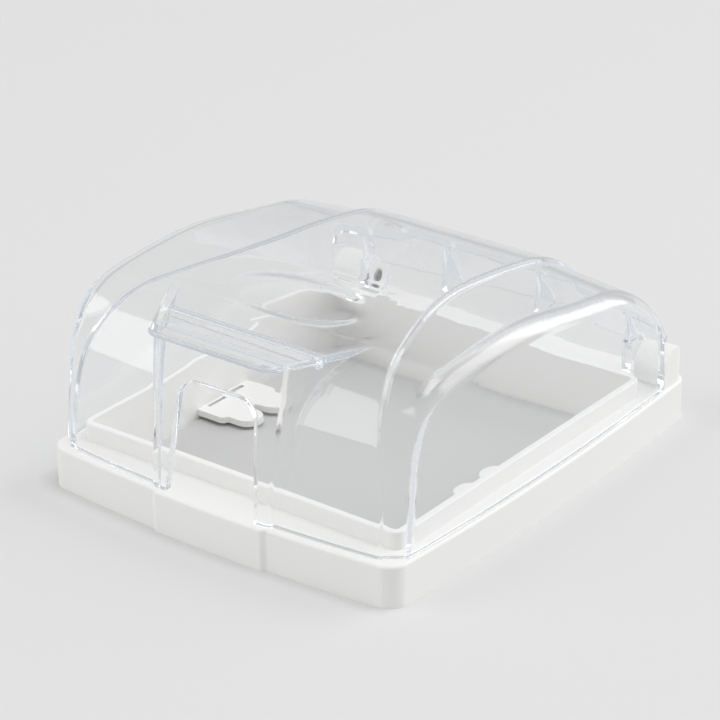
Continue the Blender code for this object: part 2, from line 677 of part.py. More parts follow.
def material(obj, name, colour, roughness, transmission):
    """Principled material of a moulded plastic."""
    made = bpy.data.materials.new(name)
    made.use_nodes = True
    shader = made.node_tree.nodes["Principled BSDF"]
    shader.inputs["Base Color"].default_value = colour
    shader.inputs["Roughness"].default_value = roughness
    shader.inputs["Metallic"].default_value = 0.0
    shader.inputs["IOR"].default_value = 1.58
    shader.inputs["Transmission Weight"].default_value = transmission
    made.diffuse_color = colour
    obj.data.materials.clear()
    obj.data.materials.append(made)


def move_origin(obj, place):
    """Puts the object's origin at the place and leaves its shape where it is."""
    obj.data.transform(Matrix.Translation(place).inverted())
    obj.location = place


def finish(obj):
    """Shades curved faces smooth and keeps real edges sharp."""
    obj.data.shade_smooth()
    obj.data.set_sharp_from_angle(angle=SHARP_ANGLE)


def main():
    for old in list(bpy.data.objects):
        bpy.data.objects.remove(old)
    base = base_frame()
    material(base, "white_plastic", WHITE, 0.35, 0.0)
    lid = clear_lid()
    material(lid, "clear_plastic", CLEAR, 0.05, 1.0)
    move_origin(lid, Vector((0.0, HINGE_Y, HINGE_Z)))
    for obj in (base, lid):
        finish(obj)


main()
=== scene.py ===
"""Dressed scene of the waterproof socket cover: white base frame, clear lid, pale floor, soft light."""

import json
import math

import bmesh
import bpy
from mathutils import Matrix, Vector

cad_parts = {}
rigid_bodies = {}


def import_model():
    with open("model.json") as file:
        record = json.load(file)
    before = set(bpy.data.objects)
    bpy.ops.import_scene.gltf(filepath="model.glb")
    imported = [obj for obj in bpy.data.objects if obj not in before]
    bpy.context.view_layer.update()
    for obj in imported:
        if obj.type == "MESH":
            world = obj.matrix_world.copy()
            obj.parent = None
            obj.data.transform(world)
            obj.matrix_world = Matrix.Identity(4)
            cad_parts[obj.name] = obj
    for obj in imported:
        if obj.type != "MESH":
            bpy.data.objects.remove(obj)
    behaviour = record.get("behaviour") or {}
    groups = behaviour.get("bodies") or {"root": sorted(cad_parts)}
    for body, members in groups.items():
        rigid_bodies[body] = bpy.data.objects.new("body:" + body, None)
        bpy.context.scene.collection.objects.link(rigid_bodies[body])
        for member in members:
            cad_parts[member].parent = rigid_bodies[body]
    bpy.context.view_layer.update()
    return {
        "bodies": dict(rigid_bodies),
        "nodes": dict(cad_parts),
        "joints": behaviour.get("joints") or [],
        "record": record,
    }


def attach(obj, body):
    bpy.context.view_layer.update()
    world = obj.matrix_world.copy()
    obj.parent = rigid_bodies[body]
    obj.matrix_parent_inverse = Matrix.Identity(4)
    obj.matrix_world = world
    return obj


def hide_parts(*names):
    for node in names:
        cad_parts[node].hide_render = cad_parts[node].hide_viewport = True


# Camera, fitted to the photograph
CAMERA_AZIMUTH = math.radians(37.55)
CAMERA_ELEVATION = math.radians(25.75)
CAMERA_ROLL = math.radians(-0.516)
CAMERA_DISTANCE = 0.72497
CAMERA_TARGET = Vector((-0.003045, -0.000286, 0.023378))
CAMERA_LENS = 152.03
CAMERA_SENSOR = 36

# Studio: grey sheets, the surround's light and how pale it looks, and the lamps
FLOOR_SIZE = 12.0
FLOOR_LEVEL = 0.737
# Grey of the sheet inside the opening: partly painted shade under the lid, partly the greyer floor that
# shows there
INSIDE_SHADE_LEVEL = 0.595
SHEET_LIFT = 0.0001
SHEET_ROUGHNESS = 0.8
SURROUND_LIGHT = 0.50
SURROUND_LOOK = 0.60
# Each lamp's place, target, size and power in watts
LAMPS = {
    "front left": ((-2.2, -2.2, 1.4), (0, 0, 0.03), 2.7, 39.0),
    "rear right": ((2.03, 2.60, 1.25), (0, 0, 0.03), 3.0, 60.0),
    "overhead": ((0.5, 0.2, 2.2), (0, 0, 0), 1.3, 17.0),
}

# White plastic, with each noise pattern as its scale and detail
WHITE_IOR = 1.5
WHITE_DARKER = (0.880, 0.880, 0.864, 1)
WHITE_PALER = (0.900, 0.899, 0.882, 1)
WHITE_CLOUDS = (45.0, 3.0)
WHITE_ROUGHNESS = (0.34, 0.46)
WHITE_GLOSS = (260.0, 4.0)
GRAIN = (2600.0, 2.0)
GRAIN_STRENGTH = 0.25
GRAIN_DEPTH = 0.00006

# Clear plastic, with each noise pattern as its scale and detail
CLEAR_IOR = 1.49
CLEAR_ROUGHNESS = (0.004, 0.020)
CLEAR_GLOSS = (320.0, 3.0)
WAVES = (90.0, 1.0)
WAVE_STRENGTH = 0.3
WAVE_DEPTH = 0.0001
SOFT_EDGE_RADIUS = 0.0005
SOFT_EDGE_SAMPLES = 4
TRAPPED_TURNS = 5.5
TRAPPED_TINT = (0.955, 0.975, 1.0, 1)
PASSING_TINT = (0.994, 0.994, 0.994, 1)
DEPTH_COLOUR = (0.35, 0.65, 1.0, 1)
DEPTH_DENSITY = 4.0

CLEARANCE = 0.0003

# Base frame, as far as the lid and the sheet inside the opening follow it
BASE_WIDTH = 0.1010
BASE_LENGTH = 0.1203
BASE_HEIGHT = 0.0105
SIDE_BOW = 0.0022
FRONT_BOW = 0.00276
BUMP_DEPTH = 0.00075
COLLAR_SIDE_MARGIN = 0.0045
COLLAR_FRONT_MARGIN = 0.0074
COLLAR_WALL = 0.0015
COLLAR_SETBACK = 0.0161

# Hinge
HINGE_SETBACK = 0.00575
HINGE_RISE = 0.00475
HINGE_EAR_WIDTH = 0.0097
HINGE_EAR_RADIUS = 0.00475
PIN_RADIUS = 0.0015
PIN_LENGTH = 0.0037
LUG_THICKNESS = 0.0026
LUG_RADIUS = 0.0038
LUG_SWEEP = math.radians(150.0)

# Lid shell
LID_WALL = 0.0020
LID_HEIGHT = 0.0512
LID_SIDE_MARGIN = 0.0005
LID_CORNER_MARGIN = 0.0019
LID_CENTRE_MARGIN = 0.0013
LID_REAR_MARGIN = 0.0020
FRONT_LEAN = math.radians(5.7)
FRONT_ROLL_RADIUS = 0.0200
ROOF_RADIUS = 0.2350
CREST_SETBACK = 0.0428
REAR_ROLL_RADIUS = 0.0430
HOOD_EDGE_HEIGHT = 0.0196
CORNER_CHAMFER = 0.0050
RIDGE_REAR_HALF = 0.0253
RIDGE_TURN_START = 0.0080
RIDGE_TURN_LENGTH = 0.0810
BELT_STEP = 0.0011
BELT_STEP_SLOPE = math.radians(55.0)
CORNER_DROP = 0.0039
ROOF_DROP = 0.0007
REAR_DROP = 0.0030
CORNER_END = 0.0280
CORNER_FADE = 0.0140
REAR_DROP_START = 0.0750
REAR_DROP_FADE = 0.0300
CORNER_RIDGE_RADIUS = 0.0009
ROOF_RIDGE_RADIUS = 0.0008
CORNER_SHOULDER_RADIUS = 0.0022
ROOF_SHOULDER_RADIUS = 0.0045
BELT_FOOT_RADIUS = 0.0003
LEAST_RADIUS = 0.0002
BOW_FADE_HEIGHT = 0.0280
SIDE_BOW_KEPT = 0.4

# Cable porch, visor, cable arch and thumb scoop
PORCH_WIDTH = 0.0338
PORCH_FLARE = 0.52
PORCH_MARGIN = 0.0013
PORCH_LEAN = math.radians(7.9)
PORCH_DROP = 0.0010
PORCH_DEPTH = 0.0245
PORCH_CORNER_RADIUS = 0.0014
PORCH_CORNER_SHARE = 0.5
CREASE_SETBACK = 0.0127
VISOR_STEP = 0.0003
VISOR_REACH = 0.0121
VISOR_THICKNESS = 0.0013
VISOR_CORNER_RADIUS = 0.0042
CREASE_RIB = 0.0012
VISOR_OVERHANG = 0.0002
VISOR_EDGE_RADIUS = 0.0005
ARCH_WIDTH = 0.0262
ARCH_RISE = 0.0281
ARCH_TAPER = 0.086
ARCH_RADIUS = 0.0050
SCOOP_LENGTH = 0.0370
SCOOP_WIDTH = 0.0190
SCOOP_DEPTH = 0.0022
SCOOP_RIM = 0.0011
SCOOP_SETBACK = 0.0203

# Cross wall and hood at the lid's rear
CROSS_WALL_GAP = 0.0010
CROSS_WALL_LIFT = 0.0015
SIDE_END_RADIUS = 0.0030
EAR_NOTCH_RISE = 0.0035
GUSSET_THICKNESS = 0.0012
GUSSET_OFFSET = 0.0140

# Places that follow from the sizes above
OVERALL_LENGTH = BASE_LENGTH + FRONT_BOW + BUMP_DEPTH
REAR_Y = OVERALL_LENGTH / 2
CORNER_Y = REAR_Y - BASE_LENGTH
FRONT_Y = -OVERALL_LENGTH / 2
COLLAR_WIDTH = BASE_WIDTH - 2 * COLLAR_SIDE_MARGIN
COLLAR_LENGTH = BASE_LENGTH - COLLAR_SETBACK - COLLAR_FRONT_MARGIN
COLLAR_REAR_Y = REAR_Y - COLLAR_SETBACK
COLLAR_Y = COLLAR_REAR_Y - COLLAR_LENGTH / 2
HINGE_Y = REAR_Y - HINGE_SETBACK
HINGE_Z = BASE_HEIGHT + HINGE_RISE
EAR_INNER_X = BASE_WIDTH / 2 - HINGE_EAR_WIDTH
FOOT_Z = BASE_HEIGHT + CLEARANCE
LID_HALF = BASE_WIDTH / 2 - LID_SIDE_MARGIN
RIDGE_FRONT_HALF = LID_HALF - CORNER_CHAMFER
LID_FRONT_Y = CORNER_Y + LID_CORNER_MARGIN
LID_FRONT_BOW = FRONT_BOW + LID_CORNER_MARGIN - LID_CENTRE_MARGIN
CREST_Y = CORNER_Y + CREST_SETBACK
PORCH_Y = FRONT_Y + PORCH_MARGIN
PORCH_TOP = LID_HEIGHT - PORCH_DROP
CREASE_Y = PORCH_Y + CREASE_SETBACK
VISOR_TOP = PORCH_TOP - VISOR_STEP
SCOOP_Y = CREASE_Y + SCOOP_SETBACK
CROSS_REAR_Y = HINGE_Y - HINGE_EAR_RADIUS - CROSS_WALL_GAP
NOTCH_Z = HINGE_Z + HINGE_EAR_RADIUS + EAR_NOTCH_RISE
ARCH_OVERRUN = ARCH_RISE / 4

# How finely the lid's curved faces are divided
ARC_STEPS = 20
EDGE_STEPS = 6
FRONT_STEPS = 14
FRONT_ROLL_STEPS = 36
ROOF_STEPS = 52
REAR_ROLL_STEPS = 32
BELT_STEPS = 30
RIDGE_STEPS = 6
BELT_FOOT_STEPS = 4
SHOULDER_STEPS = 14
SIDE_ROWS = 14

# Edges of the lid that turn by more than this stay sharp
SHARP_ANGLE = math.radians(14.0)

# Values that only keep cutters clear of faces, or keep faces and points apart
FAR = 0.2
OVERRUN = 0.004
END_LAP = 0.0015
MERGE_DISTANCE = 0.000002
PORCH_OVERRUN_SHARE = 0.7
PORCH_LAP_SHARE = 0.5
CAVITY_LAP_SHARE = 0.98
LUG_SINK_SHARE = 0.4

# How the porch's upright front edges are picked out, and how far out the scoop's rim still counts
PORCH_FRONT_ZONE = 0.006
UPRIGHT_SHARE = 0.9
SCOOP_END = 1.6


def smoothstep(t):
    """Ease from 0 to 1 as t goes from 0 to 1."""
    t = min(max(t, 0.0), 1.0)
    return t * t * (3 - 2 * t)


def rounded(corners):
    """Outline through the corners (x, y, radius), each rounded by an arc of its radius."""
    points = []
    for i, (x, y, radius) in enumerate(corners):
        corner = Vector((x, y))
        if radius <= 0:
            points.append((x, y))
            continue
        before = (Vector(corners[i - 1][:2]) - corner).normalized()
        after = (Vector(corners[(i + 1) % len(corners)][:2]) - corner).normalized()
        half = before.angle(after) / 2
        centre = corner + (before + after).normalized() * radius / math.sin(half)
        start = corner + before * radius / math.tan(half) - centre
        turn = start.angle_signed(corner + after * radius / math.tan(half) - centre)
        for k in range(ARC_STEPS + 1):
            angle = -turn * k / ARC_STEPS
            spin = (math.cos(angle), math.sin(angle))
            points.append((centre.x + start.x * spin[0] - start.y * spin[1],
                           centre.y + start.x * spin[1] + start.y * spin[0]))
    return points


def new_object(name, mesh_builder):
    """Object whose mesh is what the bmesh holds, with its faces turned outwards."""
    bmesh.ops.recalc_face_normals(mesh_builder, faces=mesh_builder.faces)
    mesh = bpy.data.meshes.new(name)
    mesh_builder.to_mesh(mesh)
    mesh_builder.free()
    obj = bpy.data.objects.new(name, mesh)
    bpy.context.scene.collection.objects.link(obj)
    return obj


def loft(name, rings):
    """Closed solid through rings of points that all have the same count."""
    bm = bmesh.new()
    rows = [[bm.verts.new(point) for point in ring] for ring in rings]
    for lower, upper in zip(rows, rows[1:]):
        for k in range(len(lower)):
            n = (k + 1) % len(lower)
            bm.faces.new((lower[k], lower[n], upper[n], upper[k]))
    bm.faces.new(rows[0])
    bm.faces.new(rows[-1])
    return new_object(name, bm)


def prism(name, outline, axis, low, high):
    """Outline extruded along one axis. The outline is in the other two axes, in X, Y, Z order."""
    def place(point, at):
        values = list(point)
        values.insert("XYZ".index(axis), at)
        return tuple(values)
    return loft(name, [[place(point, at) for point in outline] for at in (low, high)])


def box(name, low, high):
    """Box between two corners."""
    outline = [(low[0], low[1]), (high[0], low[1]), (high[0], high[1]), (low[0], high[1])]
    return prism(name, outline, "Z", low[2], high[2])


def combine(target, tool, operation):
    """Applies a Boolean of the tool to the target, and removes the tool."""
    modifier = target.modifiers.new(operation.title(), "BOOLEAN")
    modifier.operation = operation
    modifier.solver = "EXACT"
    modifier.object = tool
    depsgraph = bpy.context.evaluated_depsgraph_get()
    result = bpy.data.meshes.new_from_object(target.evaluated_get(depsgraph))
    target.modifiers.clear()
    target.data = result
    bpy.data.objects.remove(tool)
    return target


def join(target, tool):
    return combine(target, tool, "UNION")


def cut(target, tool):
    return combine(target, tool, "DIFFERENCE")


def keep_common(target, tool):
    return combine(target, tool, "INTERSECT")


def side_bow(y):
    """How far the base's side stands out past its corners at y."""
    middle = (CORNER_Y + REAR_Y) / 2
    return SIDE_BOW * (1 - ((y - middle) / (BASE_LENGTH / 2)) ** 2)


def pin(side, radius, start, length):
    """Round pin on the hinge axis, from start outwards."""
    count = 4 * ARC_STEPS
    angles = [2 * math.pi * k / count for k in range(count)]
    circle = [(HINGE_Y + radius * math.cos(a), HINGE_Z + radius * math.sin(a)) for a in angles]
    xs = sorted((side * start, side * (start + length)))
    return prism("pin", circle, "X", xs[0], xs[1])


def lid_stations(overrun):
    """Points down the middle of the lid's side profile, as (length along it, place, outward normal).

    The profile is a leaning front, a front roll, a shallow roof arc and a rear roll, each tangent to the
    next. It is prolonged by the overrun at both ends.
    """
    along = Vector((math.sin(FRONT_LEAN), math.cos(FRONT_LEAN)))
    inward = Vector((math.cos(FRONT_LEAN), -math.sin(FRONT_LEAN)))
    foot = Vector((LID_FRONT_Y, FOOT_Z))
    roof = Vector((CREST_Y, LID_HEIGHT - ROOF_RADIUS))
    start = foot + inward * FRONT_ROLL_RADIUS - roof
    slope = start.dot(along)
    reach = ROOF_RADIUS - FRONT_ROLL_RADIUS
    straight = math.sqrt(slope ** 2 - start.length_squared + reach ** 2) - slope
    front = foot + along * straight + inward * FRONT_ROLL_RADIUS
    edge = Vector((REAR_Y - LID_REAR_MARGIN, HOOD_EDGE_HEIGHT))
    gap = edge - roof
    reach = ROOF_RADIUS - REAR_ROLL_RADIUS
    near = (reach ** 2 - REAR_ROLL_RADIUS ** 2 + gap.length_squared) / (2 * gap.length)
    beside = math.sqrt(reach ** 2 - near ** 2)
    ahead = gap.normalized()
    rear = roof + ahead * near + Vector((ahead.y, -ahead.x)) * -beside
    starts = [straight * k / FRONT_STEPS for k in range(FRONT_STEPS)]
    stations = [(s, foot + along * s, -inward) for s in [-overrun] * (overrun > 0) + starts]
    travelled = straight

    def arc(centre, radius, first, last, count):
        nonlocal travelled
        for k in range(count):
            angle = first + (last - first) * k / count
            normal = Vector((math.cos(angle), math.sin(angle)))
            stations.append((travelled + radius * abs(first - angle), centre + normal * radius, normal))
        travelled += radius * abs(last - first)

    def heading(vector):
        return math.atan2(vector.y, vector.x)

    to_front, to_rear = heading(front - roof), heading(rear - roof)
    arc(front, FRONT_ROLL_RADIUS, heading(-inward), to_front, FRONT_ROLL_STEPS)
    arc(roof, ROOF_RADIUS, to_front, to_rear, ROOF_STEPS)
    last = heading(edge - rear)
    arc(rear, REAR_ROLL_RADIUS, to_rear, last, REAR_ROLL_STEPS)
    normal = (edge - rear).normalized()
    tangent = Vector((normal.y, -normal.x))
    for s in (0.0, overrun + END_LAP):
        stations.append((travelled + s, edge + tangent * s, normal))
    return stations


def blend(start, end, t):
    """Value on the smooth way from start to end."""
    return start + (end - start) * smoothstep(t)


def bend(corner, before, after, radius, inset, steps):
    """Rounded corner of the section between two slopes, drawn in by the inset."""
    middle, half = (before + after) / 2, (after - before) / 2
    kept = max(radius - inset, LEAST_RADIUS) if after > before else -radius - inset
    reach = (inset + kept) / math.cos(half)
    x, h = corner[0] - reach * math.sin(middle), corner[1] - reach * math.cos(middle)
    angles = [before + (after - before) * k / steps for k in range(steps + 1)]
    return [(x + kept * math.sin(angle), h + kept * math.cos(angle)) for angle in angles]


def section(s, inset):
    """Half of the lid's cross section at s, as (distance from the middle, height over the profile).

    A raised belt ends at the ridge in a slanted step, and a facet goes on from there to the shoulder.
    """
    ridge = blend(RIDGE_FRONT_HALF, RIDGE_REAR_HALF, (s - RIDGE_TURN_START) / RIDGE_TURN_LENGTH)
    roof = (s - CORNER_END) / CORNER_FADE
    drop = blend(CORNER_DROP, ROOF_DROP, roof)
    drop += blend(0, REAR_DROP - ROOF_DROP, (s - REAR_DROP_START) / REAR_DROP_FADE)
    foot = ridge + BELT_STEP / math.tan(BELT_STEP_SLOPE)
    slope = math.atan2(drop - BELT_STEP, LID_HALF - foot)
    ridge_radius = blend(CORNER_RIDGE_RADIUS, ROOF_RIDGE_RADIUS, roof)
    shoulder_radius = blend(CORNER_SHOULDER_RADIUS, ROOF_SHOULDER_RADIUS, roof)
    edge = bend((ridge, 0), 0, BELT_STEP_SLOPE, ridge_radius, inset, RIDGE_STEPS)
    points = [(edge[0][0] * k / BELT_STEPS, -inset) for k in range(BELT_STEPS)] + edge
    points += bend((foot, -BELT_STEP), BELT_STEP_SLOPE, slope, BELT_FOOT_RADIUS, inset, BELT_FOOT_STEPS)
    return points + bend((LID_HALF, -drop), slope, math.pi / 2, shoulder_radius, inset, SHOULDER_STEPS)


def bowed(x, y, z):
    """Bows the lid's front and sides outwards, most at the foot, to follow the base."""
    low = 1 - smoothstep((z - FOOT_Z) / BOW_FADE_HEIGHT)
    side = SIDE_BOW_KEPT + (1 - SIDE_BOW_KEPT) * low
    ahead = 1 - smoothstep((y - LID_FRONT_Y) / BOW_FADE_HEIGHT)
    spread = max(side_bow(y), 0.0) * side / LID_HALF
    return (x * (1 + spread), y - LID_FRONT_BOW * (1 - (x / LID_HALF) ** 2) * low * ahead, z)


def scoop_depth(x, y):
    """Depth of the thumb scoop at a place on the roof: a shallow dish with a rounded rim."""
    reach = math.hypot(x / (SCOOP_LENGTH / 2), (y - SCOOP_Y) / (SCOOP_WIDTH / 2))
    floor = SCOOP_DEPTH * (1 - min(reach, 1.0) ** 2)
    rim = SCOOP_RIM * SCOOP_DEPTH / (SCOOP_WIDTH / 2)
    return (floor - rim + math.hypot(floor - rim, rim)) / 2 if reach < SCOOP_END else 0.0


def lid_hull(name, inset, overrun):
    """Solid form of the lid without its porch, drawn in by the inset."""
    bottom = FOOT_Z - overrun
    rings = []
    for s, place, normal in lid_stations(overrun):
        half = section(s, inset)
        across = [(-x, h) for x, h in half[:0:-1]] + half
        spots = [(x, place + normal * (h - scoop_depth(x, place.x))) for x, h in across]
        skin = [(x, spot.x, max(spot.y, bottom)) for x, spot in spots]
        (left, left_y, left_z), (right, right_y, right_z) = skin[0], skin[-1]
        shares = [k / SIDE_ROWS for k in range(SIDE_ROWS)]
        ring = [(left, left_y, bottom + (left_z - bottom) * share) for share in shares]
        ring += skin
        ring += [(right, right_y, bottom + (right_z - bottom) * share) for share in reversed(shares)]
        rings.append(ring)
    end = max(y for x, y, z in rings[-1]) + END_LAP + overrun
    rings.insert(0, [(x, y, bottom) for x, y, z in rings[0]])
    rings.append([(x, end, z) for x, y, z in rings[-1]])
    bm = bmesh.new()
    rings = [[bm.verts.new(bowed(*point)) for point in ring] for ring in rings]
    for before, after in zip(rings, rings[1:]):
        for k in range(len(before)):
            n = (k + 1) % len(before)
            bm.faces.new((before[k], before[n], after[n], after[k]))
    bm.faces.new(rings[0])
    bm.faces.new(rings[-1])
    bmesh.ops.remove_doubles(bm, verts=bm.verts, dist=MERGE_DISTANCE)
    return new_object(name, bm)


def wedge(inset, front_y, radius):
    """Plan of the porch: a wedge that widens towards the rear, with its front corners rounded."""
    slant = inset * math.hypot(1, PORCH_FLARE)
    rear_y = PORCH_Y + PORCH_DEPTH
    front = PORCH_WIDTH / 2 + (front_y - PORCH_Y) * PORCH_FLARE - slant
    rear = PORCH_WIDTH / 2 + PORCH_DEPTH * PORCH_FLARE - slant
    return rounded([(-front, front_y, radius), (front, front_y, radius),
                    (rear, rear_y, 0), (-rear, rear_y, 0)])


def round_upright_edges(obj, radius):
    """Rounds the two edges at the front of the porch that run up from its foot."""
    bm = bmesh.new()
    bm.from_mesh(obj.data)
    edges = []
    for edge in bm.edges:
        run = edge.verts[0].co - edge.verts[1].co
        middle = (edge.verts[0].co + edge.verts[1].co) / 2
        upright = abs(run.z) > UPRIGHT_SHARE * run.length
        if upright and middle.y < PORCH_Y + PORCH_FRONT_ZONE:
            edges.append(edge)
    bmesh.ops.bevel(bm, geom=edges, offset=radius, offset_type="OFFSET", segments=EDGE_STEPS,
                    profile=0.5, affect="EDGES")
    bm.to_mesh(obj.data)
    bm.free()
    return obj


def porch(name, inset, overrun):
    """Solid form of the porch under its visor, drawn in by the inset."""
    lean = math.tan(PORCH_LEAN)
    shift = inset * math.hypot(1, lean)
    bottom = FOOT_Z - overrun * PORCH_OVERRUN_SHARE
    rear = PORCH_Y + PORCH_DEPTH
    ceiling = VISOR_TOP - VISOR_THICKNESS * (CAVITY_LAP_SHARE if inset else PORCH_LAP_SHARE)
    crease = CREASE_Y + inset

    def front(z):
        return PORCH_Y + (z - FOOT_Z) * lean + shift

    profile = [(front(bottom), bottom), (front(ceiling), ceiling), (crease, ceiling),
               (crease, PORCH_TOP - inset), (rear, PORCH_TOP - inset), (rear, bottom)]
    body = prism(name, profile, "X", -FAR, FAR)
    plan = wedge(inset, PORCH_Y - PORCH_DEPTH / 2, 0)
    keep_common(body, prism("plan", plan, "Z", -FAR, FAR))
    return round_upright_edges(body, PORCH_CORNER_RADIUS - inset * PORCH_CORNER_SHARE)


def visor():
    """Flat lip with a rounded edge ahead of the porch's roof, which a thumb lifts to open the lid."""
    lip = CREASE_Y - VISOR_REACH
    rings = []
    for k in range(2 * EDGE_STEPS + 1):
        angle = math.pi * k / (2 * EDGE_STEPS)
        inset = VISOR_EDGE_RADIUS * (1 - math.sin(angle))
        middle = VISOR_EDGE_RADIUS if k > EDGE_STEPS else VISOR_THICKNESS - VISOR_EDGE_RADIUS
        z = VISOR_TOP - middle - VISOR_EDGE_RADIUS * math.cos(angle)
        rings.append([(x, y, z) for x, y in wedge(inset - VISOR_OVERHANG, lip + inset, VISOR_CORNER_RADIUS)])
    plate = loft("visor", rings)
    return keep_common(plate, box("limit", (-FAR, -FAR, 0), (FAR, CREASE_Y + LID_WALL / 2, FAR)))


def cable_arch():
    """Cutter for the arch that lets the cable out under the visor."""
    foot, top = BASE_HEIGHT - ARCH_OVERRUN, BASE_HEIGHT + ARCH_RISE
    spread = ARCH_WIDTH / 2 + ARCH_OVERRUN * ARCH_TAPER
    crown = ARCH_WIDTH / 2 - ARCH_RISE * ARCH_TAPER
    outline = rounded([(-spread, foot, 0), (spread, foot, 0),
                       (crown, top, ARCH_RADIUS), (-crown, top, ARCH_RADIUS)])
    return prism("arch", outline, "Y", -FAR, PORCH_Y + PORCH_DEPTH / 2)


def cavity():
    """The space inside the lid, with the crease rib, the cross wall and the hood's gussets left standing."""
    space = lid_hull("cavity", LID_WALL, OVERRUN)
    join(space, porch("porch", LID_WALL, OVERRUN))
    cut(space, box("crease rib", (-FAR, CREASE_Y, PORCH_TOP - LID_WALL - CREASE_RIB),
                   (FAR, CREASE_Y + CREASE_RIB, FAR)))
    low, high = CROSS_REAR_Y - LID_WALL, CROSS_REAR_Y
    cut(space, box("cross wall", (-FAR, low, FOOT_Z + CROSS_WALL_LIFT), (FAR, high, FAR)))
    lug_x = EAR_INNER_X - CLEARANCE - LUG_THICKNESS / 2
    half = GUSSET_THICKNESS / 2
    for x in (-lug_x, -GUSSET_OFFSET, GUSSET_OFFSET, lug_x):
        cut(space, box("gusset", (x - half, (low + high) / 2, FOOT_Z), (x + half, FAR, FAR)))
    return space


def rear_trim():
    """Cutter below the hood's edge, which also rounds the lower rear corners of the side walls."""
    start = CROSS_REAR_Y - SIDE_END_RADIUS
    under = FOOT_Z - OVERRUN
    profile = [(start, under)]
    for k in range(ARC_STEPS + 1):
        angle = math.pi / 2 * (k / ARC_STEPS - 1)
        profile.append((start + SIDE_END_RADIUS * math.cos(angle),
                        FOOT_Z + SIDE_END_RADIUS * (1 + math.sin(angle))))
    profile += [(CROSS_REAR_Y, HOOD_EDGE_HEIGHT), (FAR, HOOD_EDGE_HEIGHT), (FAR, under)]
    return prism("trim", profile, "X", -FAR, FAR)


def ear_notch(side):
    """Cutter that clears the hood over a hinge ear."""
    xs = sorted((side * (EAR_INNER_X - 2 * CLEARANCE), side * FAR))
    return box("notch", (xs[0], CROSS_REAR_Y, 0), (xs[1], FAR, NOTCH_Z))


def lug(side):
    """Hinge arm behind the cross wall, with its pin."""
    outer = EAR_INNER_X - CLEARANCE
    xs = sorted((side * outer, side * (outer - LUG_THICKNESS)))
    front = CROSS_REAR_Y - LID_WALL * LUG_SINK_SHARE
    top = HOOD_EDGE_HEIGHT + LID_WALL
    profile = [(front, FOOT_Z + SIDE_END_RADIUS)]
    for k in range(3 * ARC_STEPS + 1):
        angle = LUG_SWEEP * k / (3 * ARC_STEPS) - math.pi / 2
        profile.append((HINGE_Y + LUG_RADIUS * math.cos(angle), HINGE_Z + LUG_RADIUS * math.sin(angle)))
    profile += [(HINGE_Y, top), (front, top)]
    arm = prism("lug", profile, "X", xs[0], xs[1])
    return join(arm, pin(side, PIN_RADIUS, outer - LUG_THICKNESS / 2, LUG_THICKNESS / 2 + PIN_LENGTH))


def clear_lid():
    """Clear lid: a shell with its porch, visor, arch, scoop, cross wall, hood and hinge lugs."""
    lid = lid_hull("clear_lid", 0.0, OVERRUN / 2)
    join(lid, porch("porch", 0.0, OVERRUN / 2))
    cut(lid, box("below", (-FAR, -FAR, -FAR), (FAR, FAR, FOOT_Z)))
    cut(lid, rear_trim())
    for side in (-1, 1):
        cut(lid, ear_notch(side))
    cut(lid, cavity())
    join(lid, visor())
    cut(lid, cable_arch())
    for side in (-1, 1):
        join(lid, lug(side))
    return lid


def new_material(name):
    """Empty node material with its output node."""
    made = bpy.data.materials.new(name)
    made.use_nodes = True
    nodes = made.node_tree.nodes
    nodes.clear()
    return made, nodes, made.node_tree.links, nodes.new("ShaderNodeOutputMaterial")


def noise(nodes, links, place, pattern):
    """Noise over the object's own coordinates, as a value from 0 to 1. The pattern is (scale, detail)."""
    made = nodes.new("ShaderNodeTexNoise")
    made.inputs["Scale"].default_value, made.inputs["Detail"].default_value = pattern
    links.new(place, made.inputs["Vector"])
    return made.outputs["Fac"]


def ranged(nodes, links, value, low, high):
    """A value from 0 to 1, brought to the range from low to high."""
    made = nodes.new("ShaderNodeMapRange")
    made.inputs["To Min"].default_value = low
    made.inputs["To Max"].default_value = high
    links.new(value, made.inputs["Value"])
    return made.outputs["Result"]


def calculated(nodes, links, operation, first, second):
    """Result of an operation on two values."""
    made = nodes.new("ShaderNodeMath")
    made.operation = operation
    links.new(first, made.inputs[0])
    links.new(second, made.inputs[1])
    return made.outputs[0]


def bump(nodes, links, height, strength, depth):
    """Node that tilts the surface's normal by a height pattern."""
    made = nodes.new("ShaderNodeBump")
    made.inputs["Strength"].default_value = strength
    made.inputs["Distance"].default_value = depth
    links.new(height, made.inputs["Height"])
    return made


def see_through(nodes, tint):
    """Shader that lets light pass straight, with a tint."""
    made = nodes.new("ShaderNodeBsdfTransparent")
    made.inputs["Color"].default_value = tint
    return made.outputs["BSDF"]


def mixed(nodes, links, share, first, second):
    """Shader between two others. At a share of 1 it is the second."""
    made = nodes.new("ShaderNodeMixShader")
    links.new(share, made.inputs[0])
    links.new(first, made.inputs[1])
    links.new(second, made.inputs[2])
    return made.outputs["Shader"]


